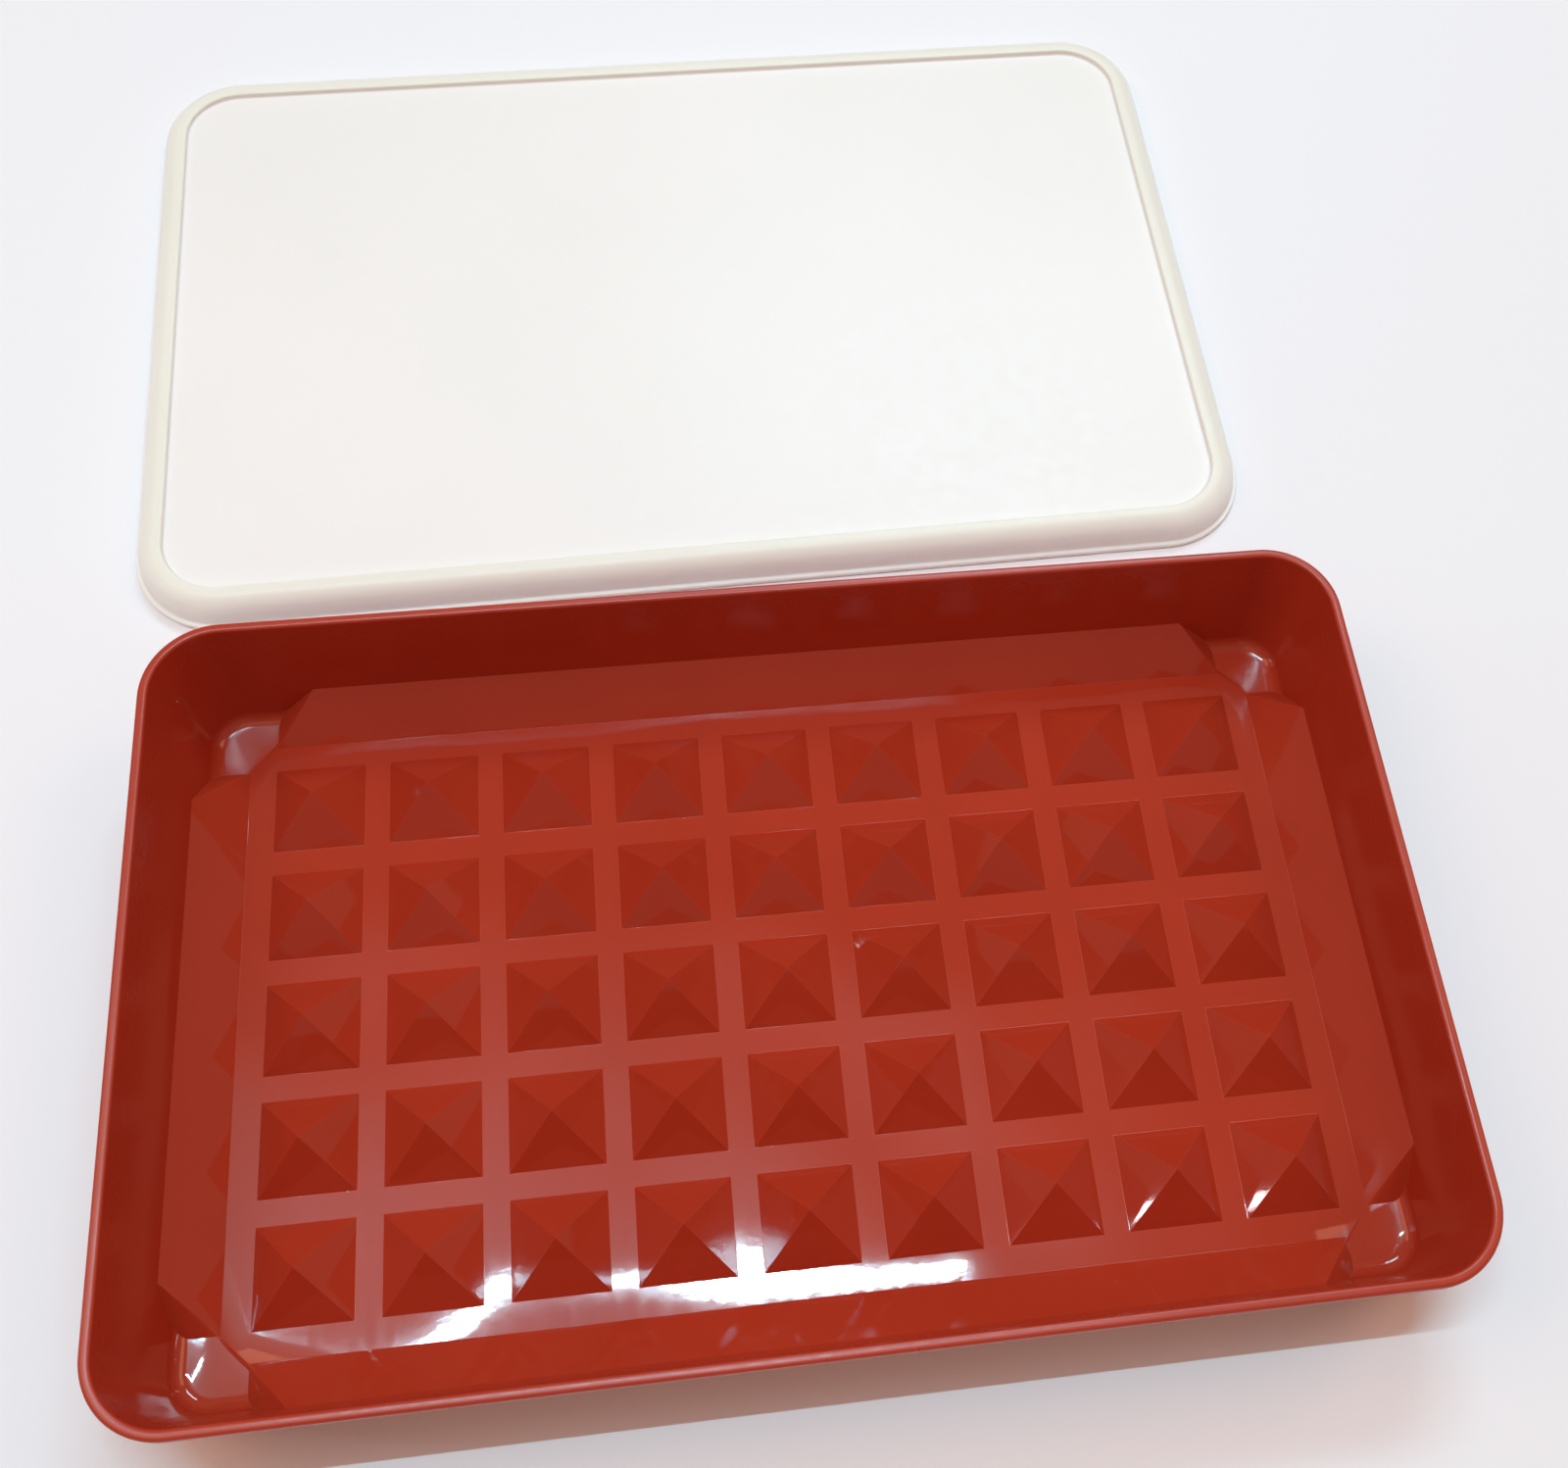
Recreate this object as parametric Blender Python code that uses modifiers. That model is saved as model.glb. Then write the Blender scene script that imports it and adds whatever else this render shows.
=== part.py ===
"""Shallow rectangular tray with a raised-pyramid floor, and its flat press-on lid.

Metres, +Z up.  Both mouldings stand on the plane Z = 0.  The tray lies with its
length along X.  The lid lies beyond the tray on +Y, outer face up, slightly turned.
The origin is the centre of the footprint that the two cover together.
"""
import math

import bmesh
import bpy
from mathutils import Matrix, Vector

# ------------------------------------------------------------- tray, outside
TRAY_LENGTH = 0.2811
TRAY_WIDTH = 0.1731
TRAY_HEIGHT = 0.0375
RIM_CORNER_RADIUS = 0.017
RIM_WIDTH = 0.0023
RIM_LIP_DROP = 0.0030
RIM_EDGE = 0.0005

# --------------------------------------------------------------- tray, walls
PLATE = 0.0017
WALL_DRAFT = 0.00505
FLOOR_CORNER_RADIUS = 0.0085
FOOT_FILLET = 0.0030
FOOT_DROP = 0.0004

# --------------------------------------------------------------- tray, floor
COLUMNS = 9
ROWS = 5
VALLEY = 0.00575
BORDER_STRIP = 0.0062
RAISED_HEIGHT = 0.0103
RAMP_INSET = 0.0087
PYRAMID_TIP = 0.0006

# ----------------------------------------------------------------------- lid
LID_CLEARANCE = 0.0003
LID_SHOULDER = 0.0026
LID_SKIRT = 0.0046
LID_OVERHANG = 0.00625
LID_FLANGE_THICKNESS = 0.0014
LID_HEIGHT = 0.0085
LID_BEAD_THICKNESS = 0.0031
LID_RECESS = 0.0015
LID_RECESS_INSET = 0.0022
LID_PANEL_THICKNESS = 0.0014
LID_RIB = 0.0013
LID_RIB_DEPTH = 0.0022
LID_GRIP = 0.0020
LID_LEAD_IN = 0.0030
LID_EDGE = 0.0004

# -------------------------------------------------------------------- layout
LID_GAP = 0.02155
LID_SHIFT = -0.0113
LID_TURN = math.radians(1.1)
ARC_STEPS = 12

# ------------------------------------------------------------ derived, tray
HALF_X = TRAY_LENGTH / 2
HALF_Y = TRAY_WIDTH / 2
FOOT_TOP = PLATE
FLOOR_TOP = PLATE + FOOT_DROP
FLOOR_UNDER = FLOOR_TOP - PLATE
RAISED_TOP = FLOOR_TOP + RAISED_HEIGHT
INNER_FLOOR_X = HALF_X - RIM_WIDTH - WALL_DRAFT
INNER_FLOOR_Y = HALF_Y - RIM_WIDTH - WALL_DRAFT
RAMP_FOOT_X = INNER_FLOOR_X - RAMP_INSET
RAMP_FOOT_Y = INNER_FLOOR_Y - RAMP_INSET
GRID_X = RAMP_FOOT_X - BORDER_STRIP
GRID_Y = RAMP_FOOT_Y - BORDER_STRIP
BASE_X = (2 * GRID_X - (COLUMNS - 1) * VALLEY) / COLUMNS
BASE_Y = (2 * GRID_Y - (ROWS - 1) * VALLEY) / ROWS
PITCH_X = BASE_X + VALLEY
PITCH_Y = BASE_Y + VALLEY
END_SLOPE = 1.0
CREASE_FALL = 45.0
CREASE_OVERRUN = 0.002

# Cutting bodies: how far they run past the walls, into the floor and below the feet.
CUT_PAST_WALL = 0.010
CUT_INTO_FLOOR = 0.0016
PYRAMID_SINK = 0.0006
CUT_LOWEST = -0.001

# ------------------------------------------------------------- derived, lid
LID_PANEL_TOP = LID_HEIGHT - LID_RECESS
LID_PANEL_UNDER = LID_PANEL_TOP - LID_PANEL_THICKNESS
LID_GROOVE_TOP = LID_HEIGHT - LID_BEAD_THICKNESS
LID_RIB_END = LID_PANEL_UNDER - LID_RIB_DEPTH
LID_HALF_X = HALF_X + LID_OVERHANG
LID_HALF_Y = HALF_Y + LID_OVERHANG
LID_RADIUS = RIM_CORNER_RADIUS + LID_OVERHANG

# ---------------------------------------------------------- derived, layout
LID_REACH_X = (
    (LID_HALF_X - LID_RADIUS) * math.cos(LID_TURN)
    + (LID_HALF_Y - LID_RADIUS) * math.sin(LID_TURN)
    + LID_RADIUS
)
LID_REACH_Y = (
    (LID_HALF_X - LID_RADIUS) * math.sin(LID_TURN)
    + (LID_HALF_Y - LID_RADIUS) * math.cos(LID_TURN)
    + LID_RADIUS
)
LID_AWAY = HALF_Y + LID_GAP + LID_HALF_Y
LAYOUT_MIN_X = min(-HALF_X, LID_SHIFT - LID_REACH_X)
LAYOUT_MAX_X = max(HALF_X, LID_SHIFT + LID_REACH_X)
TRAY_AT = Vector((
    -(LAYOUT_MIN_X + LAYOUT_MAX_X) / 2,
    -(LID_AWAY + LID_REACH_Y - HALF_Y) / 2,
    0.0,
))
LID_AT = TRAY_AT + Vector((LID_SHIFT, LID_AWAY, 0.0))


# ------------------------------------------------------------------ helpers
def clear_scene():
    for old in list(bpy.data.objects):
        bpy.data.objects.remove(old, do_unlink=True)


def new_collection(name):
    group = bpy.data.collections.new(name)
    bpy.context.scene.collection.children.link(group)
    return group


def plastic(name, colour, roughness, transmission, alpha):
    material = bpy.data.materials.new(name)
    material.use_nodes = True
    shader = material.node_tree.nodes["Principled BSDF"]
    shader.inputs["Base Color"].default_value = colour
    shader.inputs["Roughness"].default_value = roughness
    shader.inputs["IOR"].default_value = 1.5
    shader.inputs["Transmission Weight"].default_value = transmission
    shader.inputs["Alpha"].default_value = alpha
    material.diffuse_color = (colour[0], colour[1], colour[2], alpha)
    return material


def finish_mesh(name, mesh_data, group):
    """Turn a bmesh into a linked object with outward faces."""
    bmesh.ops.recalc_face_normals(mesh_data, faces=mesh_data.faces)
    mesh = bpy.data.meshes.new(name)
    mesh_data.to_mesh(mesh)
    mesh_data.free()
    solid = bpy.data.objects.new(name, mesh)
    group.objects.link(solid)
    return solid


def as_cutter(solid):
    solid.hide_render = True
    solid.display_type = "WIRE"
    return solid


def cut(solid, cutter):
    modifier = solid.modifiers.new("cut_" + cutter.name, "BOOLEAN")
    modifier.operation = "DIFFERENCE"
    modifier.solver = "EXACT"
    modifier.object = cutter


def ring_points(half_x, half_y, radius, z):
    """Rounded rectangle, counter-clockwise from above."""
    radius = min(radius, half_x * 0.98, half_y * 0.98)
    points = []
    corners = ((1, 1, 0.0), (-1, 1, 0.5), (-1, -1, 1.0), (1, -1, 1.5))
    for side_x, side_y, start in corners:
        centre_x = side_x * (half_x - radius)
        centre_y = side_y * (half_y - radius)
        for step in range(ARC_STEPS + 1):
            angle = math.pi * (start + 0.5 * step / ARC_STEPS)
            x = centre_x + radius * math.cos(angle)
            y = centre_y + radius * math.sin(angle)
            points.append((x, y, z))
    return points


def loft(name, rings, group):
    """Closed body through rounded-rectangle rings, capped at both ends."""
    body = bmesh.new()
    rows = []
    for half_x, half_y, radius, z in rings:
        row = [body.verts.new(p) for p in ring_points(half_x, half_y, radius, z)]
        rows.append(row)
    count = len(rows[0])
    for lower, upper in zip(rows, rows[1:]):
        for i in range(count):
            j = (i + 1) % count
            face = body.faces.new((lower[i], lower[j], upper[j], upper[i]))
            face.smooth = True
    body.faces.new(rows[0][::-1])
    body.faces.new(rows[-1])
    solid = finish_mesh(name, body, group)
    solid.data.set_sharp_from_angle(angle=math.radians(30))
    return solid


def hulls(name, point_sets, group):
    """One mesh holding a convex body per set of points."""
    body = bmesh.new()
    for points in point_sets:
        verts = [body.verts.new(p) for p in points]
        bmesh.ops.convex_hull(body, input=verts)
    bmesh.ops.dissolve_limit(
        body,
        angle_limit=math.radians(0.05),
        verts=body.verts,
        edges=body.edges,
    )
    return finish_mesh(name, body, group)


# --------------------------------------------------------------- tray shape
def wall_growth(z):
    """How far the drafted inner wall stands outside its floor line at height z."""
    return WALL_DRAFT * (z - FLOOR_TOP) / (TRAY_HEIGHT - FLOOR_TOP)


def inner_ring(z, inset=0.0):
    share = (z - FLOOR_TOP) / (TRAY_HEIGHT - FLOOR_TOP)
    top_radius = RIM_CORNER_RADIUS - RIM_WIDTH
    radius = FLOOR_CORNER_RADIUS + share * (top_radius - FLOOR_CORNER_RADIUS)
    grow = wall_growth(z) - inset
    return (INNER_FLOOR_X + grow, INNER_FLOOR_Y + grow, radius - inset, z)


def outer_ring(z, inset=0.0):
    half_x, half_y, radius, _ = inner_ring(z)
    grow = PLATE - inset
    return (half_x + grow, half_y + grow, radius + grow, z)


def rim_ring(z, inset=0.0):
    return (HALF_X - inset, HALF_Y - inset, RIM_CORNER_RADIUS - inset, z)


def outside_rings():
    reach = FOOT_FILLET + PLATE
    rings = []
    for step in range(7):
        angle = math.pi / 2 * step / 6
        z = reach * (1 - math.cos(angle))
        rings.append(outer_ring(z, reach * (1 - math.sin(angle))))
    lip_z = TRAY_HEIGHT - RIM_LIP_DROP
    rings.append(outer_ring(lip_z - RIM_EDGE))
    rings.append(rim_ring(lip_z, RIM_EDGE))
    rings.append(rim_ring(lip_z + RIM_EDGE))
    rings.append(rim_ring(TRAY_HEIGHT - RIM_EDGE))
    rings.append(rim_ring(TRAY_HEIGHT - RIM_EDGE * 0.3, RIM_EDGE * 0.3))
    rings.append(rim_ring(TRAY_HEIGHT, RIM_EDGE))
    return rings


def inside_rings():
    rings = []
    for step in range(7):
        angle = math.pi / 2 * step / 6
        z = FOOT_TOP + FOOT_FILLET * (1 - math.cos(angle))
        rings.append(inner_ring(z, FOOT_FILLET * (1 - math.sin(angle))))
    rings.append(inner_ring(TRAY_HEIGHT - RIM_EDGE))
    rings.append(inner_ring(TRAY_HEIGHT, -RIM_EDGE * 0.7))
    rings.append(inner_ring(TRAY_HEIGHT + CUT_PAST_WALL, -RIM_EDGE * 0.7))
    return rings


def octagon(grow, z):
    """Floor outline: foot lines of the ramps, with a slanting crease at each corner."""
    end = Vector((GRID_X, RAMP_FOOT_Y))
    side = Vector((RAMP_FOOT_X, GRID_Y))
    along = side - end
    along.normalize()
    outward = Vector((-along.y, along.x))
    if outward.x < 0:
        outward = -outward
    base = end + outward * grow
    reach_y = RAMP_FOOT_Y + CREASE_OVERRUN
    reach_x = RAMP_FOOT_X + CREASE_OVERRUN
    at_y = base + along * ((reach_y - base.y) / along.y)
    at_x = base + along * ((reach_x - base.x) / along.x)
    points = []
    for sx in (-1, 1):
        for sy in (-1, 1):
            points.append((sx * at_y.x, sy * at_y.y, z))
            points.append((sx * at_x.x, sy * at_x.y, z))
    return points


def floor_slab(grow, top, bottom):
    """Floor body whose crease edges fall away to the corner feet."""
    spread = (top - bottom) / math.tan(math.radians(CREASE_FALL))
    return octagon(grow, top) + octagon(grow + spread, bottom)


def ramp_slope(wall, foot):
    run = wall + wall_growth(RAISED_TOP) - foot
    return RAISED_HEIGHT / run


def wedge(foot, end, slope, z_line, z_low, outer):
    """Ramp body: (along, across, z) points, rising from its foot to the outer plane."""
    low = z_line - z_low
    rise = slope * (outer - foot)
    foot_low = foot - low / slope
    end_low = end + low / END_SLOPE
    end_high = end - rise / END_SLOPE
    return [
        (-end_low, foot_low, z_low),
        (end_low, foot_low, z_low),
        (-end_low, outer, z_low),
        (end_low, outer, z_low),
        (-end_high, outer, z_line + rise),
        (end_high, outer, z_line + rise),
    ]


def four_ramps(shrink, z_line, z_low):
    """Ramps against the four walls; shrink draws every face in by that thickness."""
    slope_y = ramp_slope(INNER_FLOOR_Y, RAMP_FOOT_Y)
    slope_x = ramp_slope(INNER_FLOOR_X, RAMP_FOOT_X)
    back_y = shrink * math.tan(math.atan(slope_y) / 2)
    back_x = shrink * math.tan(math.atan(slope_x) / 2)
    back_end = shrink * math.tan(math.atan(END_SLOPE) / 2)
    long_side = wedge(
        RAMP_FOOT_Y + back_y, GRID_X - back_end, slope_y, z_line, z_low, HALF_Y + CUT_PAST_WALL
    )
    short_side = wedge(
        RAMP_FOOT_X + back_x, GRID_Y - back_end, slope_x, z_line, z_low, HALF_X + CUT_PAST_WALL
    )
    return [
        long_side,
        [(-x, -y, z) for x, y, z in long_side],
        [(y, -x, z) for x, y, z in short_side],
        [(-y, x, z) for x, y, z in short_side],
    ]


def pyramid_field(name, sink, drop, tip_share, group):
    """Array of four-sided pyramids, lowered by drop, whose faces run sink further down."""
    height = RAISED_HEIGHT
    low = FLOOR_TOP - drop - sink
    spread = sink / height
    body = bmesh.new()
    made = bmesh.ops.create_cone(
        body,
        cap_ends=True,
        segments=4,
        radius1=math.sqrt(0.5) * (1 + spread),
        radius2=math.sqrt(0.5) * tip_share,
        depth=height + sink,
        matrix=Matrix.Rotation(math.radians(45), 4, "Z"),
    )
    start_x = -(COLUMNS - 1) / 2 * PITCH_X
    start_y = -(ROWS - 1) / 2 * PITCH_Y
    for vert in made["verts"]:
        vert.co.x = vert.co.x * BASE_X + start_x
        vert.co.y = vert.co.y * BASE_Y + start_y
        vert.co.z = vert.co.z + (height + sink) / 2 + low
    field = finish_mesh(name, body, group)
    across = field.modifiers.new("columns", "ARRAY")
    across.count = COLUMNS
    across.use_relative_offset = False
    across.use_constant_offset = True
    across.constant_offset_displace = (PITCH_X, 0.0, 0.0)
    along = field.modifiers.new("rows", "ARRAY")
    along.count = ROWS
    along.use_relative_offset = False
    along.use_constant_offset = True
    along.constant_offset_displace = (0.0, PITCH_Y, 0.0)
    return field


def build_tray(parts, cutters, material):
    tray = loft("tray", outside_rings(), parts)

    inside = as_cutter(loft("tray_inside", inside_rings(), cutters))
    low = FLOOR_TOP - CUT_INTO_FLOOR
    slab = as_cutter(hulls("floor_top", [floor_slab(0.0, FLOOR_TOP, low)], cutters))
    ramps = as_cutter(hulls("ramps_top", four_ramps(0.0, FLOOR_TOP, low), cutters))
    tip_share = PYRAMID_TIP / min(BASE_X, BASE_Y)
    peaks = as_cutter(
        pyramid_field("pyramids_top", PYRAMID_SINK, 0.0, tip_share, cutters)
    )
    cut(inside, slab)
    cut(inside, ramps)
    cut(inside, peaks)

    inset = PLATE * math.tan(math.radians(CREASE_FALL) / 2)
    under_slab = as_cutter(
        hulls("floor_under", [floor_slab(-inset, FLOOR_UNDER, CUT_LOWEST)], cutters)
    )
    under_ramps = as_cutter(
        hulls("ramps_under", four_ramps(PLATE, FLOOR_UNDER, CUT_LOWEST), cutters)
    )
    steep = math.atan2(RAISED_HEIGHT, min(BASE_X, BASE_Y) / 2)
    drop = PLATE / math.cos(steep)
    sink = FLOOR_TOP - drop - CUT_LOWEST
    under_peaks = as_cutter(
        pyramid_field("pyramids_under", sink, drop, tip_share, cutters)
    )
    cut(tray, inside)
    cut(tray, under_slab)
    cut(tray, under_ramps)
    cut(tray, under_peaks)

    tray.data.materials.append(material)
    for cutter in cutters.objects:
        cutter.location = TRAY_AT
    tray.location = TRAY_AT
    return tray


# ---------------------------------------------------------------- lid shape
def lid_ring(outset, z):
    """Ring standing outset beyond the outline of the tray's rim."""
    return (HALF_X + outset, HALF_Y + outset, RIM_CORNER_RADIUS + outset, z)


def lid_outside(edge):
    """Rings over the lid's face: panel, recess wall, border and flange edge."""
    recess = -LID_RECESS_INSET
    return [
        lid_ring(recess - 1.5 * edge, LID_PANEL_TOP),
        lid_ring(recess - 0.5 * edge, LID_PANEL_TOP + 0.5 * edge),
        lid_ring(recess, LID_PANEL_TOP + 1.5 * edge),
        lid_ring(recess, LID_HEIGHT - 1.5 * edge),
        lid_ring(recess + 0.5 * edge, LID_HEIGHT - 0.5 * edge),
        lid_ring(recess + 1.5 * edge, LID_HEIGHT),
        lid_ring(LID_SHOULDER - 1.5 * edge, LID_HEIGHT),
        lid_ring(LID_SHOULDER - 0.5 * edge, LID_HEIGHT - 0.4 * edge),
        lid_ring(LID_SHOULDER + 0.2 * edge, LID_HEIGHT - 1.5 * edge),
        lid_ring(LID_SKIRT, LID_FLANGE_THICKNESS),
        lid_ring(LID_OVERHANG - edge, LID_FLANGE_THICKNESS),
        lid_ring(LID_OVERHANG, LID_FLANGE_THICKNESS - edge),
        lid_ring(LID_OVERHANG, edge),
        lid_ring(LID_OVERHANG - edge, 0.0),
    ]


def lid_underside(edge):
    """Rings under the lid: flared skirt, groove for the rim, and the rib inside it."""
    draft = WALL_DRAFT / (TRAY_HEIGHT - FLOOR_TOP)
    groove_in = -RIM_WIDTH - LID_CLEARANCE
    rib_out = groove_in - draft * (LID_GROOVE_TOP - LID_RIB_END)
    rib_in = rib_out - LID_RIB
    return [
        lid_ring(LID_CLEARANCE + LID_LEAD_IN, 0.0),
        lid_ring(LID_CLEARANCE, LID_GROOVE_TOP - LID_GRIP),
        lid_ring(LID_CLEARANCE, LID_GROOVE_TOP),
        lid_ring(groove_in, LID_GROOVE_TOP),
        lid_ring(rib_out, LID_RIB_END + edge),
        lid_ring(rib_out - edge, LID_RIB_END),
        lid_ring(rib_in + edge, LID_RIB_END),
        lid_ring(rib_in, LID_RIB_END + edge),
        lid_ring(rib_in - 0.5 * edge, LID_PANEL_UNDER),
    ]


def build_lid(parts, material):
    rings = lid_outside(LID_EDGE) + lid_underside(LID_EDGE)
    lid = loft("lid", rings, parts)
    lid.data.materials.append(material)
    lid.rotation_euler = (0.0, 0.0, LID_TURN)
    lid.location = LID_AT
    return lid


def main():
    clear_scene()
    parts = new_collection("humidity_dome_tray")
    cutters = new_collection("cutters")
    cutters.hide_render = True
    red = plastic("tray_plastic", (0.43, 0.040, 0.016, 1.0), 0.22, 0.0, 1.0)
    milky = plastic("lid_plastic", (0.86, 0.87, 0.80, 1.0), 0.38, 0.35, 0.72)
    build_tray(parts, cutters, red)
    build_lid(parts, milky)


main()
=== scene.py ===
"""Shallow red tray with a pyramid floor and its milky lid: looks, floor, light and camera."""

import math

import bmesh
import bpy
from mathutils import Matrix, Vector


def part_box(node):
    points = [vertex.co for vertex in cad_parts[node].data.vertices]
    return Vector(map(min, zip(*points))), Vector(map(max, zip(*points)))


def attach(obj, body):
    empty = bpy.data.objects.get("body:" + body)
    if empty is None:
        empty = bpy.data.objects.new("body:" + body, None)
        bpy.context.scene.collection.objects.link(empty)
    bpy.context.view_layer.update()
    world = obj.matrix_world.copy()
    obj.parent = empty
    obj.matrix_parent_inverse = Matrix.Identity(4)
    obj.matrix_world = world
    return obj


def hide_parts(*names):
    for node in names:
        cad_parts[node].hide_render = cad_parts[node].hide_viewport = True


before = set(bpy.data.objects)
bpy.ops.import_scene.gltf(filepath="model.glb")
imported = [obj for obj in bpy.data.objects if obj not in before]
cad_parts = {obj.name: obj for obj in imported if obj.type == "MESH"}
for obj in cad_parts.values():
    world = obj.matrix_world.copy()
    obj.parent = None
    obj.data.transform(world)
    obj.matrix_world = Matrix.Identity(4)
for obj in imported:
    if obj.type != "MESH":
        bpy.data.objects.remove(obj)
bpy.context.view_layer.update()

# Where the two mouldings stand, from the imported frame.
TRAY_LOW, TRAY_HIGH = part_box("tray")
LID_LOW, LID_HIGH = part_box("lid")
TRAY_AT = Vector(((TRAY_LOW.x + TRAY_HIGH.x) / 2, (TRAY_LOW.y + TRAY_HIGH.y) / 2, TRAY_LOW.z))
LID_AT = Vector(((LID_LOW.x + LID_HIGH.x) / 2, (LID_LOW.y + LID_HIGH.y) / 2, LID_LOW.z))
LID_TURN = math.radians(1.1)

# The four corners, anticlockwise from the far right one: signs of X and Y.
CORNERS = ((1, 1), (-1, 1), (-1, -1), (1, -1))

# ------------------------------------------------------------- tray sizes (m)
HALF_X = (TRAY_HIGH.x - TRAY_LOW.x) / 2
HALF_Y = (TRAY_HIGH.y - TRAY_LOW.y) / 2
HEIGHT = TRAY_HIGH.z - TRAY_LOW.z
RIM_RADIUS = 0.0170
RIM_WIDTH = 0.0023
RIM_DROP = 0.0030
RIM_ROUND = 0.0008
LIP_ROUND = 0.0004
LIP_CREASE = 0.0002
PLATE = 0.0017
DRAFT = 0.00505
FLOOR_RADIUS = 0.0085
FILLET = 0.0030
FOOT_DROP = 0.0004
PAD_DIP = 0.00003
COLUMNS = 9
ROWS = 5
VALLEY = 0.00575
STRIP = 0.0062
RAISED = 0.0103
RAMP_INSET = 0.0087
FLOOR_TOP = PLATE + FOOT_DROP
FLOOR_X = HALF_X - RIM_WIDTH - DRAFT
FLOOR_Y = HALF_Y - RIM_WIDTH - DRAFT
FOOT_X = FLOOR_X - RAMP_INSET
FOOT_Y = FLOOR_Y - RAMP_INSET
GRID_X = FOOT_X - STRIP
GRID_Y = FOOT_Y - STRIP
BASE_X = (2 * GRID_X - (COLUMNS - 1) * VALLEY) / COLUMNS
BASE_Y = (2 * GRID_Y - (ROWS - 1) * VALLEY) / ROWS
GROWTH = DRAFT / (HEIGHT - FLOOR_TOP)
ARC_STEPS = 20
FILLET_STEPS = 6
EDGE_ROUND = 0.0006
CREASE_RUN = 0.0010
WALL_BLEND = 0.0040

# -------------------------------------------------------------- lid sizes (m)
LID_CLEARANCE = 0.0003
LID_SHOULDER = 0.0026
LID_SKIRT = 0.0046
LID_OVERHANG = 0.00625
LID_FLANGE_DEEP = 0.0014
LID_HEIGHT = LID_HIGH.z - LID_LOW.z
LID_RECESS = 0.0015
LID_PANEL_THICKNESS = 0.0014
LID_BEAD_THICKNESS = 0.0031
LID_GRIP = 0.0020
LID_RIB_DEPTH = 0.0022
LID_PANEL_TOP = LID_HEIGHT - LID_RECESS
LID_PANEL_UNDER = LID_PANEL_TOP - LID_PANEL_THICKNESS
LID_GROOVE_TOP = LID_HEIGHT - LID_BEAD_THICKNESS
LID_GRIP_END = LID_GROOVE_TOP - LID_GRIP
LID_LEAD_IN = 0.0030
LID_RECESS_INSET = 0.0022
LID_RIB = 0.0013
LID_RIB_END = LID_PANEL_UNDER - LID_RIB_DEPTH
LID_EDGE = 0.0005
LID_FOOT_EDGE = 0.0004
LID_STEP_EDGE = 0.0006
LID_CROWN_EDGE = 0.0007
LID_GROOVE_EDGE = 0.0003
DOME_STEPS = 10
DOME_SPREAD = 1.25
DOME_FALL = 0.75

# --------------------------------------------------------- floor and camera
FLOOR_HALF = 4.0
FLOOR_BELOW = 0.0001
VIEW_AZIMUTH = 13.24
VIEW_ELEVATION = 62.67
VIEW_ROLL = 7.36
VIEW_FROM = (-0.01381, -0.11654, 0.38656 + FLOOR_TOP)
SENSOR_WIDTH = 36.0
FOCAL_LENGTH = 39.03
SHIFT = (-0.0635, -0.0381)

# ------------------------------------------------------------------ colours
PAPRIKA_DARK = (0.40, 0.030, 0.011)
PAPRIKA_LIGHT = (0.45, 0.036, 0.014)
# Rounded edges are lighter red: partly edge wear, partly a painted highlight standing in for
# glints along the edges.
EDGE_WEAR_AND_HIGHLIGHT_DARK = (0.42, 0.038, 0.016)
EDGE_WEAR_AND_HIGHLIGHT_LIGHT = (0.48, 0.052, 0.024)
BODY_GLOSS = 0.03
EDGE_GLOSS = 0.07
LID_PANEL_TINT = (0.93, 0.85, 0.83)
LID_BORDER_TINT = (0.89, 0.82, 0.74)
# Lid side: milky white made lighter with painted light, standing in for light shining through
# the thin wall.
LID_SIDE_TINT_WITH_PAINTED_LIGHT = (0.97, 0.93, 0.90)
TABLE_DARK = (0.88, 0.83, 0.86)
TABLE_LIGHT = (0.91, 0.86, 0.89)
PLASTIC_IOR = 1.50

# ------------------------------------------------------------------- lights
ROOM_LIGHT = 0.32
ROOM_COLOUR = (1.0, 0.73, 0.59)
GLOW_LIGHT = 2.0
GLOW_COLOUR = (0.20, 0.85, 1.0)
GLOW_AT = (-0.12, 0.10)
GLOW_SIZE = (0.44, 0.27)
GLOW_CORE = 0.8
TUBE_POWER = 10.0
WINDOW_POWER = 14.5
COOL = (0.49, 0.83, 0.96)
FILL_POWER = 5.5
WARM = (1.0, 0.52, 0.32)
DAYLIGHT = (0.95, 0.97, 1.0)
TUBE_AT = (-0.12, 0.124)
CEILING = 1.5
FILL_SIZE = (0.8, 0.8)
NEAR_FILL_SHARE = 0.30
SIDE_POWER = 1.3
CENTRE = (0, 0, 0)


# How strongly each kind of edge is rounded, as a share of EDGE_ROUND.
BASE_EDGE = 1.0
RIDGE_EDGE = 0.5
RAMP_FOOT_EDGE = 0.9
RAMP_SIDE_EDGE = 0.8
RAMP_TOP_EDGE = 0.7
PAD_EDGE = 0.8
WELL_EDGE = 0.6


# ------------------------------------------------------------- mesh helpers
def object_from(mesh, name, place=None):
    data = bpy.data.meshes.new(name)
    mesh.to_mesh(data)
    mesh.free()
    if place:
        data.transform(place)
    made = bpy.data.objects.new(name, data)
    bpy.context.scene.collection.objects.link(made)
    return made


def bridge(mesh, lower, upper):
    """Quads between two closed rings of the same length."""
    for i in range(len(lower)):
        j = (i + 1) % len(lower)
        mesh.faces.new((lower[i], lower[j], upper[j], upper[i])).smooth = True


def arc(centre, radius, start, end, steps):
    """Points of a round edge in a section: (outwards, up) pairs, angles in degrees."""
    points = []
    for step in range(steps + 1):
        angle = math.radians(start + (end - start) * step / steps)
        out = centre[0] + radius * math.cos(angle)
        points.append((out, centre[1] + radius * math.sin(angle)))
    return points


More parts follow.
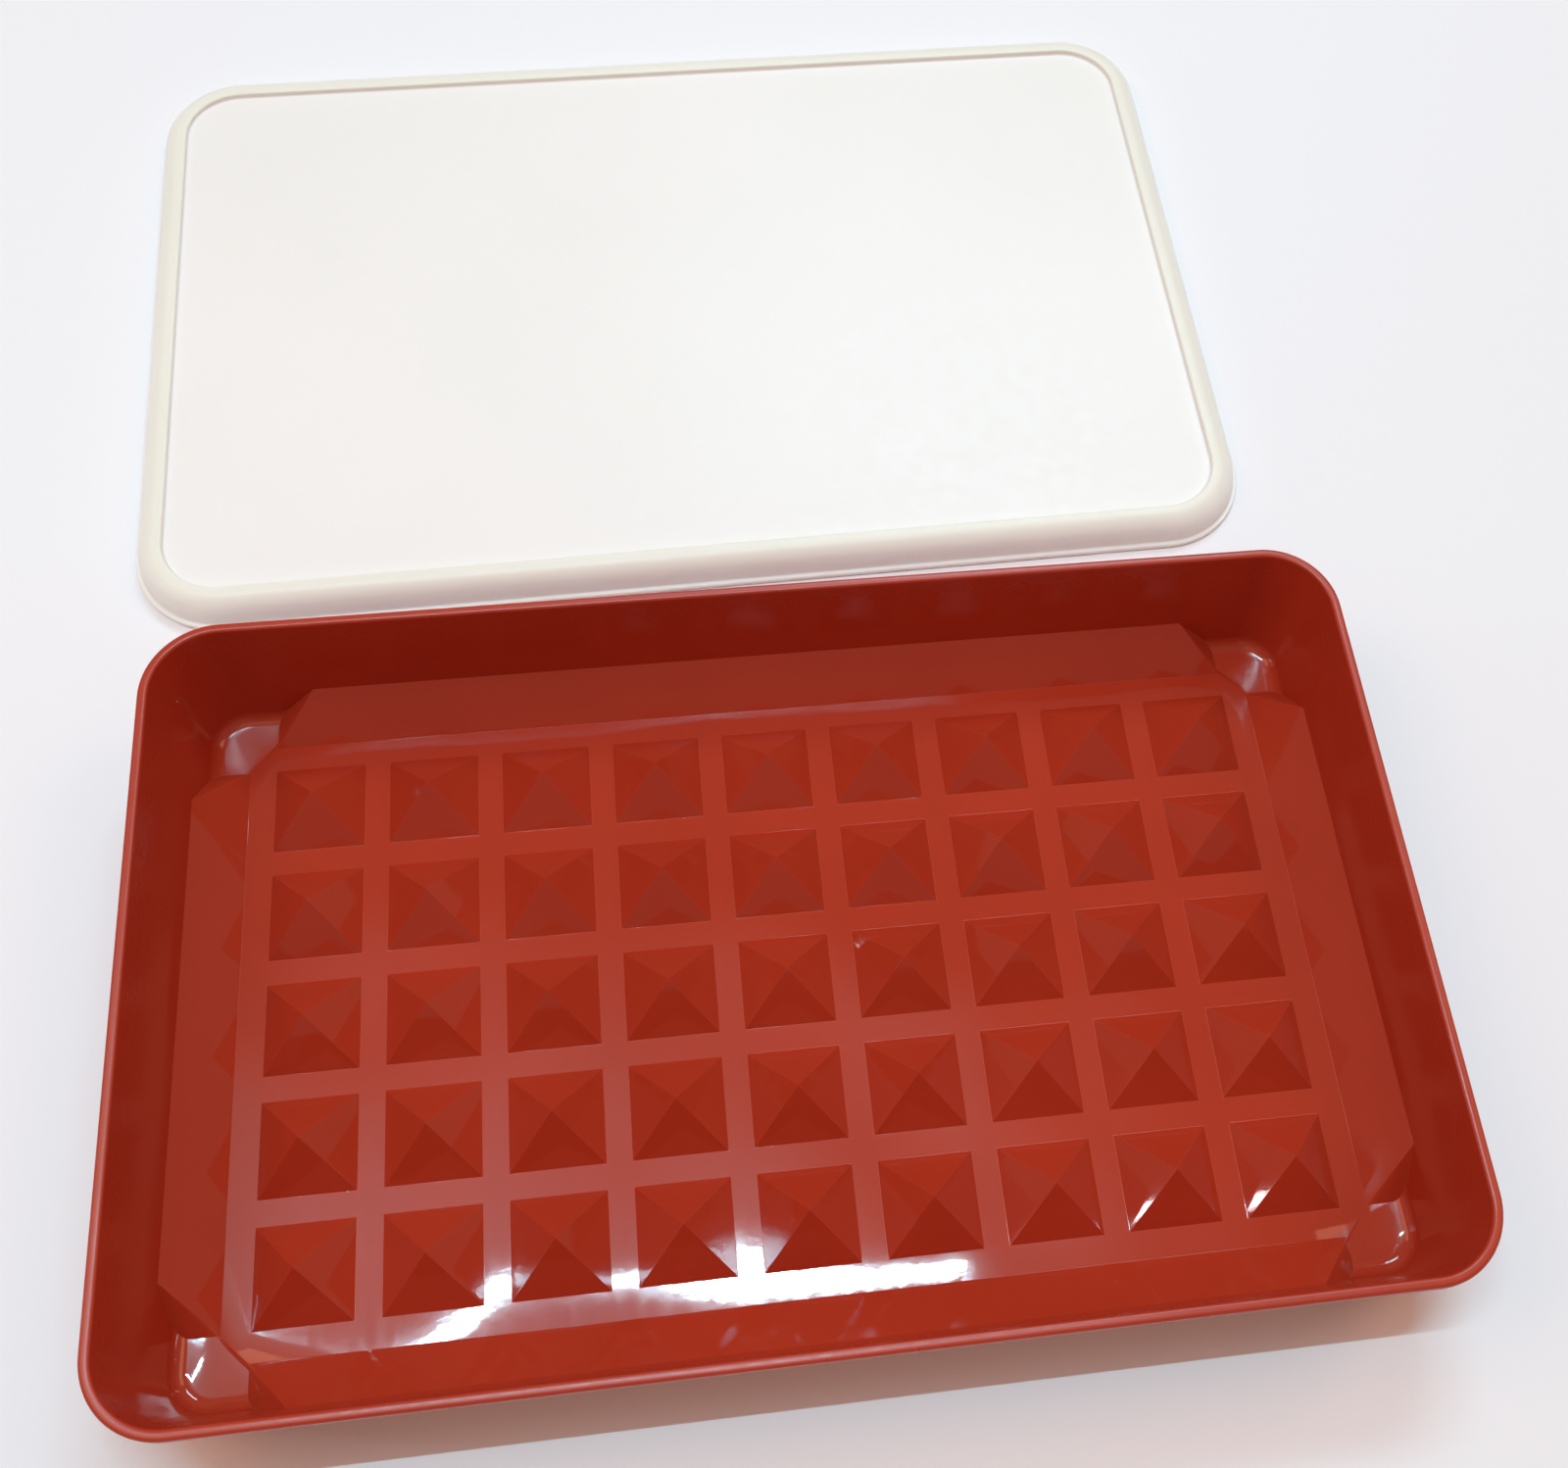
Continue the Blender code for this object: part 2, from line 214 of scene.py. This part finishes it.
# ---------------------------------------------------------------- tray mesh
class Skin:
    """One face of the tray's plate. Depth 0 is the inside face, PLATE the outside face."""

    def __init__(self, mesh, depth):
        self.mesh = mesh
        self.depth = depth
        self.known = {}
        self.weight = mesh.edges.layers.float["bevel_weight_edge"]
        pyramid = math.atan(RAISED / (BASE_X / 2))
        lowered = depth / math.cos(pyramid)
        half_turn = math.tan(math.radians(22.5))
        slope_x = RAISED / (FLOOR_X + GROWTH * RAISED - FOOT_X)
        slope_y = RAISED / (FLOOR_Y + GROWTH * RAISED - FOOT_Y)
        self.floor = FLOOR_TOP - depth
        self.pad = PLATE - depth if depth else FLOOR_TOP - PAD_DIP
        self.drop = self.floor - self.pad
        self.tip = FLOOR_TOP + RAISED - lowered
        shrink = (lowered - depth) / math.tan(pyramid)
        self.base_x = BASE_X / 2 - shrink
        self.base_y = BASE_Y / 2 - shrink
        self.foot_x = FOOT_X + depth * math.tan(math.atan(slope_x) / 2)
        self.foot_y = FOOT_Y + depth * math.tan(math.atan(slope_y) / 2)
        self.end_x = GRID_X - depth * half_turn
        self.end_y = GRID_Y - depth * half_turn
        self.top_x, self.top_zx = self.ramp_top(FLOOR_X + depth, self.foot_x, slope_x)
        self.top_y, self.top_zy = self.ramp_top(FLOOR_Y + depth, self.foot_y, slope_y)
        self.round = FILLET + depth
        self.wall_foot = self.pad + self.round

    def ramp_top(self, wall, foot, slope):
        """Where a ramp meets its wall: (distance out, height)."""
        rest = wall + GROWTH * (self.floor - slope * foot - FLOOR_TOP)
        out = rest / (1 - GROWTH * slope)
        return out, self.floor + slope * (out - foot)

    def vert(self, x, y, z):
        """The vertex at a place, shared by every face that meets there."""
        key = (round(x * 1e7), round(y * 1e7), round(z * 1e7))
        if key not in self.known:
            self.known[key] = self.mesh.verts.new((x, y, z))
        return self.known[key]

    def face(self, points):
        """Face through the points, turned up on the inside and down on the outside."""
        verts = []
        for point in points:
            vert = self.vert(*point)
            if vert not in verts:
                verts.append(vert)
        made = self.mesh.faces.new(verts)
        made.smooth = True
        made.normal_update()
        upward = self.depth == 0
        if (made.normal.z > 0) != upward:
            made.normal_flip()
        return made

    def crisp(self, start, end, weight):
        """Marks the edge between two places for rounding."""
        edge = self.mesh.edges.get((self.vert(*start), self.vert(*end)))
        if edge:
            edge[self.weight] = weight

    def lines(self, count, pitch, half):
        """Grid lines on both sides of every pyramid."""
        places = []
        for i in range(count):
            centre = (i - (count - 1) / 2) * pitch
            places += [centre - half, centre + half]
        return places

    def build_floor(self):
        """Pyramids, the valleys between them and the strip round them."""
        xs = self.lines(COLUMNS, BASE_X + VALLEY, self.base_x)
        ys = self.lines(ROWS, BASE_Y + VALLEY, self.base_y)
        self.xs, self.ys = xs, ys
        z = self.floor
        for i in range(len(xs) - 1):
            for j in range(len(ys) - 1):
                corners = [(xs[i], ys[j], z), (xs[i + 1], ys[j], z),
                           (xs[i + 1], ys[j + 1], z), (xs[i], ys[j + 1], z)]
                if i % 2 or j % 2:
                    self.face(corners)
                else:
                    self.pyramid(corners)
        for sy in (-1, 1):
            line = [-self.end_x] + xs[1:-1] + [self.end_x]
            for i in range(len(xs) - 1):
                self.face([(xs[i], sy * ys[-1], z), (xs[i + 1], sy * ys[-1], z),
                           (line[i + 1], sy * self.foot_y, z), (line[i], sy * self.foot_y, z)])
        for sx in (-1, 1):
            line = [-self.end_y] + ys[1:-1] + [self.end_y]
            for j in range(len(ys) - 1):
                self.face([(sx * xs[-1], ys[j], z), (sx * xs[-1], ys[j + 1], z),
                           (sx * self.foot_x, line[j + 1], z), (sx * self.foot_x, line[j], z)])

    def pyramid(self, corners):
        """Four faces from the corners of a base up to its tip."""
        centre_x = (corners[0][0] + corners[1][0]) / 2
        centre_y = (corners[0][1] + corners[2][1]) / 2
        tip = (centre_x, centre_y, self.tip)
        for i in range(4):
            self.face([corners[i], corners[(i + 1) % 4], tip])
        for i in range(4):
            self.crisp(corners[i], corners[(i + 1) % 4], BASE_EDGE)
            self.crisp(corners[i], tip, RIDGE_EDGE)

    def build_ramp(self, swap, side):
        """Ramp against one wall; swap lays it along Y instead of X."""
        z = self.floor
        lines = self.ys if swap else self.xs
        end = self.end_y if swap else self.end_x
        foot = self.foot_x if swap else self.foot_y
        out, high = (self.top_x, self.top_zx) if swap else (self.top_y, self.top_zy)
        top_end = end - (high - z)

        def place(along, across, up):
            return (side * across, along, up) if swap else (along, side * across, up)

        low = [place(a, foot, z) for a in [-end] + lines[1:-1] + [end]]
        high_left = place(-top_end, out, high)
        high_right = place(top_end, out, high)
        self.face(low + [high_right, high_left])
        for start, finish in zip(low, low[1:]):
            self.crisp(start, finish, RAMP_FOOT_EDGE)
        self.crisp(high_left, high_right, RAMP_TOP_EDGE)
        self.crisp(low[0], high_left, RAMP_SIDE_EDGE)
        self.crisp(low[-1], high_right, RAMP_SIDE_EDGE)

    def wall_point(self, angle, sx, sy, z, inset):
        """Point of the rounded corner at a height, drawn in by inset."""
        share = (z - FLOOR_TOP) / (HEIGHT - FLOOR_TOP)
        full = FLOOR_RADIUS + share * (RIM_RADIUS - RIM_WIDTH - FLOOR_RADIUS) + self.depth
        half_x = FLOOR_X + GROWTH * (z - FLOOR_TOP) + self.depth
        half_y = FLOOR_Y + GROWTH * (z - FLOOR_TOP) + self.depth
        x = half_x - full + (full - inset) * math.cos(angle)
        y = half_y - full + (full - inset) * math.sin(angle)
        return (sx * x, sy * y, z)

    def build_corner(self, sx, sy):
        """Foot pad, its crease, the fillet to the wall and the ends of the two ramps."""
        z, low, drop = self.floor, self.pad, self.drop
        crease = self.end_x + self.foot_y + math.sqrt(2) * CREASE_RUN
        a = (sx * self.end_x, sy * self.foot_y, z)
        b = (sx * self.foot_x, sy * self.end_y, z)
        a_low = (sx * (self.end_x + drop), sy * (crease - self.end_x - drop), low)
        b_low = (sx * (crease - self.end_y - drop), sy * (self.end_y + drop), low)
        self.face([(sx * self.xs[-1], sy * self.ys[-1], z), a, b])
        self.face([a, b, b_low, a_low])
        rows = []
        for step in range(FILLET_STEPS + 1):
            angle = math.pi / 2 * step / FILLET_STEPS
            height = low + self.round * (1 - math.cos(angle))
            inset = self.round * (1 - math.sin(angle))
            away_x = self.end_x + z - height
            away_y = self.end_y + z - height
            arc_points = []
            for turn in range(ARC_STEPS + 1):
                bend = math.pi / 2 * turn / ARC_STEPS
                arc_points.append(self.wall_point(bend, sx, sy, height, inset))
            first = (arc_points[0][0], sy * away_y, height)
            last = (sx * away_x, arc_points[-1][1], height)
            rows.append([first] + arc_points + [last])
        self.face([a_low, b_low] + rows[0])
        for lower, upper in zip(rows, rows[1:]):
            for i in range(len(lower) - 1):
                self.face([lower[i], lower[i + 1], upper[i + 1], upper[i]])
        top_y = (sx * (self.end_x - self.top_zy + z), sy * self.top_y, self.top_zy)
        top_x = (sx * self.top_x, sy * (self.end_y - self.top_zx + z), self.top_zx)
        firsts = [row[0] for row in rows]
        lasts = [row[-1] for row in rows]
        self.face([b, b_low] + firsts + [top_x])
        self.face([a, a_low] + lasts + [top_y])
        if self.depth:
            self.crisp(a, b, PAD_EDGE)
            self.crisp(a_low, b_low, WELL_EDGE)
            self.crisp(a, a_low, WELL_EDGE)
            self.crisp(b, b_low, WELL_EDGE)
        for chain in ([b_low] + firsts + [top_x], [a_low] + lasts + [top_y]):
            for start, finish in zip(chain, chain[1:]):
                self.crisp(start, finish, WELL_EDGE)
        return rows[-1][1:-1], rows[-1][0], rows[-1][-1], top_x, top_y

    def build(self):
        """Makes the whole face and returns the ring of vertices at the foot of its wall."""
        self.build_floor()
        self.build_ramp(False, 1)
        self.build_ramp(False, -1)
        self.build_ramp(True, 1)
        self.build_ramp(True, -1)
        ring = []
        for sx, sy in CORNERS:
            points, start, finish, top_x, top_y = self.build_corner(sx, sy)
            chain = [top_x, start] + points + [finish, top_y]
            if sx * sy < 0:
                chain.reverse()
            ring += chain
        return [self.vert(*point) for point in ring]


def wall_ring(mesh, foot_ring, half_x, half_y, radius, z):
    """Ring with one vertex over each vertex of the wall's foot."""
    ring = []
    # Each corner gives the points of its arc, and two more where each ramp meets the wall.
    quarter = ARC_STEPS + 1 + 2 * 2
    for k, (sx, sy) in enumerate(CORNERS):
        part = foot_ring[k * quarter:(k + 1) * quarter]
        for place, vert in enumerate(part):
            turn = place - 2
            if 0 <= turn <= ARC_STEPS:
                angle = math.pi / 2 * (k + turn / ARC_STEPS)
                x = sx * (half_x - radius) + radius * math.cos(angle)
                y = sy * (half_y - radius) + radius * math.sin(angle)
            elif (turn < 0) == (sx * sy > 0):
                x, y = sx * half_x, vert.co.y
            else:
                x, y = vert.co.x, sy * half_y
            ring.append(mesh.verts.new((x, y, z)))
    return ring


def make_tray():
    """The tray: its inside and outside faces, joined by the walls and the lipped rim."""
    mesh = bmesh.new()
    mesh.edges.layers.float.new("bevel_weight_edge")
    inside = Skin(mesh, 0.0).build()
    outside = Skin(mesh, PLATE).build()
    inner_x = HALF_X - RIM_WIDTH
    inner_y = HALF_Y - RIM_WIDTH
    inner_r = RIM_RADIUS - RIM_WIDTH
    section = []
    section += arc((RIM_ROUND, HEIGHT - RIM_ROUND), RIM_ROUND, 180, 90, 5)
    section += arc((RIM_WIDTH - RIM_ROUND, HEIGHT - RIM_ROUND), RIM_ROUND, 90, 0, 5)
    low = HEIGHT - RIM_DROP
    section += arc((RIM_WIDTH - LIP_ROUND, low + LIP_ROUND), LIP_ROUND, 0, -90, 3)
    under_lip = PLATE - GROWTH * RIM_DROP
    section += [(under_lip + LIP_CREASE, low), (under_lip, low - LIP_CREASE)]
    last = inside
    source = inside
    for place, (out, up) in enumerate(section):
        if place == len(section) // 2:
            source = outside
        ring = wall_ring(mesh, source, inner_x + out, inner_y + out, inner_r + out, up)
        bridge(mesh, last, ring)
        last = ring
    bridge(mesh, last, outside)
    bmesh.ops.recalc_face_normals(mesh, faces=mesh.faces)
    wall = mesh.verts.layers.float.new("wall")
    for vert in mesh.verts:
        vert[wall] = min(max((vert.co.z - FLOOR_TOP - RAISED) / WALL_BLEND, 0.0), 1.0)
    tray = object_from(mesh, "tray_shell", Matrix.Translation(TRAY_AT))
    soften = tray.modifiers.new("rounded_edges", "BEVEL")
    soften.limit_method = "WEIGHT"
    soften.offset_type = "OFFSET"
    soften.width = EDGE_ROUND
    soften.segments = 3
    # The rounded edge faces take the second material, whose lighter colour is partly wear and
    # partly painted highlight.
    soften.material = 1
    soften.harden_normals = True
    soften.use_clamp_overlap = True
    return tray


# ----------------------------------------------------------------- lid mesh
def lid_dome():
    """The border's rounded side, from its crown down to the flange."""
    start = LID_FLANGE_DEEP + LID_FOOT_EDGE
    crown = LID_HEIGHT - LID_FLANGE_DEEP - LID_FOOT_EDGE
    reach = LID_SKIRT + LID_GROOVE_EDGE
    dome = []
    for step in range(DOME_STEPS + 1):
        angle = math.pi / 2 * step / DOME_STEPS
        out = reach * math.sin(angle) ** DOME_SPREAD
        dome.append((out, start + crown * math.cos(angle) ** DOME_FALL))
    return dome


def lid_section():
    """The lid's section, panel to border to underside: (outset, height, share along the section
    that picks the colour).
    """
    recess = -LID_RECESS_INSET
    step, crown, edge, foot = LID_STEP_EDGE, LID_CROWN_EDGE, LID_EDGE, LID_FOOT_EDGE
    panel = [(recess - 0.0080, LID_PANEL_TOP), (recess - 0.0030, LID_PANEL_TOP)]
    panel += arc((recess - step, LID_PANEL_TOP + step), step, -90, 0, 5)
    border = arc((recess + crown, LID_HEIGHT - crown), crown, 180, 90, 5)
    side = lid_dome()
    side += arc((LID_SKIRT + 0.0008, LID_FLANGE_DEEP + edge), edge, 200, 270, 4)
    side += arc((LID_OVERHANG - edge, LID_FLANGE_DEEP - edge), edge, 90, 0, 4)
    side += arc((LID_OVERHANG - foot, foot), foot, 0, -90, 3)
    section = [(out, up, 0.0) for out, up in panel]
    section += [(out, up, 0.5) for out, up in border + side[:3]]
    # Down the side the share climbs to 1, so the colour there is painted lighter.
    section += [
        (out, up, min(1.0, 0.6 + 0.1 * place)) for place, (out, up) in enumerate(side[3:])
    ]
    section += [(out, up, 0.5) for out, up in lid_underside()]
    return section


def lid_underside():
    """Groove for the tray's rim, with its lead-in outside and its rib inside."""
    edge, groove = LID_EDGE, LID_GROOVE_EDGE
    groove_in = -RIM_WIDTH - LID_CLEARANCE
    rib_out = groove_in - GROWTH * (LID_GROOVE_TOP - LID_RIB_END)
    rib_in = rib_out - LID_RIB
    under = [(LID_CLEARANCE + LID_LEAD_IN, 0.0), (LID_CLEARANCE, LID_GRIP_END)]
    under += [(LID_CLEARANCE, LID_GROOVE_TOP - groove), (LID_CLEARANCE - groove, LID_GROOVE_TOP)]
    under += [(groove_in + groove, LID_GROOVE_TOP), (groove_in, LID_GROOVE_TOP - groove)]
    under += arc((rib_out - edge, LID_RIB_END + edge), edge, 0, -90, 4)
    under += arc((rib_in + edge, LID_RIB_END + edge), edge, 270, 180, 4)
    under += [(rib_in - 0.0001, LID_PANEL_UNDER - 0.0002), (rib_in - groove, LID_PANEL_UNDER)]
    return under


def make_lid():
    """The lid: its section carried round the rounded rectangle, closed by two flat panels."""
    mesh = bmesh.new()
    section_layer = mesh.verts.layers.float.new("section_share")
    rings = []
    for out, up, share in lid_section():
        ring = []
        radius = RIM_RADIUS + out
        for k, (sx, sy) in enumerate(CORNERS):
            for turn in range(ARC_STEPS + 1):
                angle = math.pi / 2 * (k + turn / ARC_STEPS)
                x = sx * (HALF_X - RIM_RADIUS) + radius * math.cos(angle)
                y = sy * (HALF_Y - RIM_RADIUS) + radius * math.sin(angle)
                vert = mesh.verts.new((x, y, up))
                vert[section_layer] = share
                ring.append(vert)
        rings.append(ring)
    for lower, upper in zip(rings, rings[1:]):
        bridge(mesh, lower, upper)
    mesh.faces.new(rings[0]).smooth = True
    mesh.faces.new(rings[-1]).smooth = True
    bmesh.ops.recalc_face_normals(mesh, faces=mesh.faces)
    place = Matrix.Translation(LID_AT) @ Matrix.Rotation(LID_TURN, 4, "Z")
    return object_from(mesh, "lid_shell", place)


# ---------------------------------------------------------------- materials
class Nodes:
    """Short forms for building a material's node tree."""

    def __init__(self, name):
        self.material = bpy.data.materials.new(name)
        self.material.use_nodes = True
        self.tree = self.material.node_tree
        self.shader = self.tree.nodes["Principled BSDF"]

    def add(self, kind, **values):
        node = self.tree.nodes.new(kind)
        for name, value in values.items():
            setattr(node, name, value)
        return node

    def link(self, source, target):
        """Joins one socket to another."""
        self.tree.links.new(source, target)

    def noise(self, scale, detail=3.0, rough=0.5, stretch=None):
        place = self.add("ShaderNodeTexCoord")
        texture = self.add("ShaderNodeTexNoise")
        texture.inputs["Scale"].default_value = scale
        texture.inputs["Detail"].default_value = detail
        texture.inputs["Roughness"].default_value = rough
        source = place.outputs["Object"]
        if stretch:
            mapping = self.add("ShaderNodeMapping")
            mapping.inputs["Scale"].default_value = stretch
            self.link(source, mapping.inputs["Vector"])
            source = mapping.outputs["Vector"]
        self.link(source, texture.inputs["Vector"])
        return texture.outputs["Fac"]

    def ramp(self, source, stops):
        node = self.add("ShaderNodeValToRGB")
        elements = node.color_ramp.elements
        while len(elements) < len(stops):
            elements.new(0.5)
        for element, (place, colour) in zip(elements, stops):
            element.position = place
            element.color = (*colour, 1.0)
        self.link(source, node.inputs["Fac"])
        return node.outputs["Color"]

    def spread(self, source, low, high):
        node = self.add("ShaderNodeMapRange")
        node.inputs["From Min"].default_value = 0.3
        node.inputs["From Max"].default_value = 0.7
        node.inputs["To Min"].default_value = low
        node.inputs["To Max"].default_value = high
        self.link(source, node.inputs["Value"])
        return node.outputs["Result"]

    def bump(self, source, strength, distance, under=None):
        node = self.add("ShaderNodeBump")
        node.inputs["Strength"].default_value = strength
        node.inputs["Distance"].default_value = distance
        self.link(source, node.inputs["Height"])
        if under:
            self.link(under, node.inputs["Normal"])
        return node.outputs["Normal"]


def tray_plastic(name, dark, light, gloss):
    """Glossy paprika-red moulded plastic with faint warping, fine scuffs and worn gloss."""
    n = Nodes(name)
    patches = n.noise(18.0, 4.0)
    colour = n.ramp(patches, [(0.25, dark), (0.75, light)])
    n.link(colour, n.shader.inputs["Base Color"])
    scuffs = n.noise(420.0, 5.0, 0.6, (1.0, 0.25, 1.0))
    wall = n.add("ShaderNodeAttribute", attribute_name="wall")
    satin = n.add("ShaderNodeMix", data_type="FLOAT")
    n.link(wall.outputs["Fac"], satin.inputs["Factor"])
    n.link(n.spread(scuffs, gloss, gloss + 0.02), satin.inputs[2])
    n.link(n.spread(scuffs, 0.27, 0.38), satin.inputs[3])
    n.link(satin.outputs[0], n.shader.inputs["Roughness"])
    warp = n.bump(n.noise(23.0, 0.0), 1.0, 0.0011)
    peel = n.bump(n.noise(700.0, 2.0), 0.04, 0.0001, warp)
    n.link(peel, n.shader.inputs["Normal"])
    n.shader.inputs["IOR"].default_value = PLASTIC_IOR
    return n.material


def lid_plastic():
    """Milky satin plastic: creamier on the border's top, and painted lighter down its side to
    stand in for light shining through the wall.
    """
    n = Nodes("lid_plastic")
    share = n.add("ShaderNodeAttribute", attribute_name="section_share")
    # The side end of this ramp is painted lighter, standing in for light through the wall.
    tint = n.ramp(share.outputs["Fac"], [
        (0.0, LID_PANEL_TINT),
        (0.5, LID_BORDER_TINT),
        (1.0, LID_SIDE_TINT_WITH_PAINTED_LIGHT),
    ])
    clouds = n.ramp(n.noise(9.0, 3.0), [(0.25, (0.95, 0.96, 0.95)), (0.75, (1.0, 1.0, 1.0))])
    mixed = n.add("ShaderNodeMix", data_type="RGBA", blend_type="MULTIPLY")
    mixed.inputs["Factor"].default_value = 1.0
    n.link(tint, mixed.inputs[6])
    n.link(clouds, mixed.inputs[7])
    n.link(mixed.outputs[2], n.shader.inputs["Base Color"])
    matte = n.noise(300.0, 4.0)
    n.link(n.spread(matte, 0.36, 0.46), n.shader.inputs["Roughness"])
    n.link(n.bump(matte, 0.03, 0.0001), n.shader.inputs["Normal"])
    n.shader.inputs["IOR"].default_value = PLASTIC_IOR
    depth = n.add("ShaderNodeMapRange")
    depth.inputs["To Min"].default_value = 0.10
    depth.inputs["To Max"].default_value = 0.4
    n.link(share.outputs["Fac"], depth.inputs["Value"])
    n.link(depth.outputs["Result"], n.shader.inputs["Subsurface Weight"])
    n.shader.inputs["Subsurface Radius"].default_value = (1.0, 0.95, 0.8)
    n.shader.inputs["Subsurface Scale"].default_value = 0.0012
    return n.material


def table_surface():
    """Pale matt table with a fine grain."""
    n = Nodes("table_surface")
    haze = n.noise(1.5, 2.0)
    colour = n.ramp(haze, [(0.2, TABLE_DARK), (0.8, TABLE_LIGHT)])
    n.link(colour, n.shader.inputs["Base Color"])
    grain = n.noise(900.0, 3.0)
    n.link(n.spread(grain, 0.55, 0.70), n.shader.inputs["Roughness"])
    n.link(n.bump(grain, 0.05, 0.0002), n.shader.inputs["Normal"])
    return n.material


# ------------------------------------------------------------ stage and view
def make_floor():
    """Plain pale table top, just under the two mouldings."""
    mesh = bmesh.new()
    bmesh.ops.create_grid(mesh, x_segments=2, y_segments=2, size=FLOOR_HALF)
    floor = object_from(mesh, "studio_floor")
    floor.location = (TRAY_AT.x, TRAY_AT.y, TRAY_AT.z - FLOOR_BELOW)
    floor.data.materials.append(table_surface())


def soft_light(name, place, aim, size, power, colour):
    """Rectangular lamp at a place over the tray, turned towards aim."""
    light = bpy.data.lights.new(name, "AREA")
    light.shape = "RECTANGLE"
    light.size, light.size_y = size
    light.energy = power
    light.color = colour
    lamp = bpy.data.objects.new(name, light)
    lamp.location = TRAY_AT + Vector(place)
    line = TRAY_AT + Vector(aim) - lamp.location
    lamp.rotation_euler = line.to_track_quat("-Z", "Y").to_euler()
    bpy.context.scene.collection.objects.link(lamp)


def make_room():
    """Pale room: dim all round, with the ceiling glowing around the tube light."""
    world = bpy.data.worlds.new("pale_room")
    world.use_nodes = True
    tree = world.node_tree
    background = tree.nodes["Background"]
    place = tree.nodes.new("ShaderNodeTexCoord")
    mapping = tree.nodes.new("ShaderNodeMapping")
    (wide, deep), (glow_x, glow_y) = GLOW_SIZE, GLOW_AT
    mapping.inputs["Scale"].default_value = (1 / wide, 1 / deep, 0.0)
    mapping.inputs["Location"].default_value = (-glow_x / wide, -glow_y / deep, 0.0)
    fade = tree.nodes.new("ShaderNodeTexGradient")
    fade.gradient_type = "SPHERICAL"
    strength = tree.nodes.new("ShaderNodeMapRange")
    strength.interpolation_type = "SMOOTHSTEP"
    strength.inputs["From Max"].default_value = GLOW_CORE
    strength.inputs["To Min"].default_value = ROOM_LIGHT
    strength.inputs["To Max"].default_value = GLOW_LIGHT
    tree.links.new(place.outputs["Generated"], mapping.inputs["Vector"])
    tree.links.new(mapping.outputs["Vector"], fade.inputs["Vector"])
    tree.links.new(fade.outputs["Fac"], strength.inputs["Value"])
    tree.links.new(strength.outputs["Result"], background.inputs["Strength"])
    colour = tree.nodes.new("ShaderNodeMix")
    colour.data_type = "RGBA"
    colour.inputs[6].default_value = (*ROOM_COLOUR, 1.0)
    colour.inputs[7].default_value = (*GLOW_COLOUR, 1.0)
    tree.links.new(fade.outputs["Fac"], colour.inputs["Factor"])
    tree.links.new(colour.outputs[2], background.inputs["Color"])
    bpy.context.scene.world = world


def make_lights():
    """A tube on the ceiling, a window beyond the lid, one at the left, and soft fills."""
    tube = (*TUBE_AT, CEILING)
    near = FILL_POWER * NEAR_FILL_SHARE
    soft_light("ceiling_tube", tube, (*TUBE_AT, 0), (0.74, 0.010), TUBE_POWER, COOL)
    soft_light("far_window", (0.4, 1.2, 1.7), (0, 0.1, 0), (0.8, 0.3), WINDOW_POWER, COOL)
    soft_light("left_fill", (-1.1, 0.3, CEILING), CENTRE, FILL_SIZE, FILL_POWER, WARM)
    soft_light("right_fill", (1.25, 0.45, CEILING), CENTRE, FILL_SIZE, FILL_POWER, WARM)
    soft_light("near_fill", (-0.2, -0.6, 1.4), CENTRE, FILL_SIZE, near, WARM)
    soft_light("side_window", (-1.9, 0.225, 0.56), CENTRE, (0.045, 0.30), SIDE_POWER, DAYLIGHT)
    bpy.context.scene.view_settings.view_transform = "Standard"


def make_camera():
    """Looks down on the tray from the near side, a little left of its middle."""
    azimuth = math.radians(VIEW_AZIMUTH)
    elevation = math.radians(VIEW_ELEVATION)
    roll = math.radians(VIEW_ROLL)
    look = Vector((
        math.sin(azimuth) * math.cos(elevation),
        math.cos(azimuth) * math.cos(elevation),
        -math.sin(elevation),
    ))
    level = Vector((math.cos(azimuth), -math.sin(azimuth), 0.0))
    rise = level.cross(look)
    right = level * math.cos(roll) + rise * math.sin(roll)
    up = right.cross(look)
    lens = bpy.data.cameras.new("camera")
    lens.sensor_width = SENSOR_WIDTH
    lens.sensor_fit = "HORIZONTAL"
    lens.lens = FOCAL_LENGTH
    lens.shift_x, lens.shift_y = SHIFT
    lens.clip_start = 0.01
    camera = bpy.data.objects.new("camera", lens)
    turn = Matrix((right, up, -look)).transposed().to_4x4()
    place = TRAY_AT + Vector(VIEW_FROM)
    camera.matrix_world = Matrix.Translation(place) @ turn
    bpy.context.scene.collection.objects.link(camera)
    bpy.context.scene.camera = camera


def main():
    tray = make_tray()
    body = tray_plastic("tray_plastic", PAPRIKA_DARK, PAPRIKA_LIGHT, BODY_GLOSS)
    # Edge material: lighter red, partly wear and partly a painted highlight along the rounded
    # edges.
    edges = tray_plastic("tray_edges", EDGE_WEAR_AND_HIGHLIGHT_DARK, EDGE_WEAR_AND_HIGHLIGHT_LIGHT, EDGE_GLOSS)
    tray.data.materials.append(body)
    tray.data.materials.append(edges)
    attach(tray, "tray")
    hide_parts("tray")
    lid = make_lid()
    lid.data.materials.append(lid_plastic())
    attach(lid, "lid")
    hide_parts("lid")
    make_floor()
    make_room()
    make_lights()
    make_camera()


main()
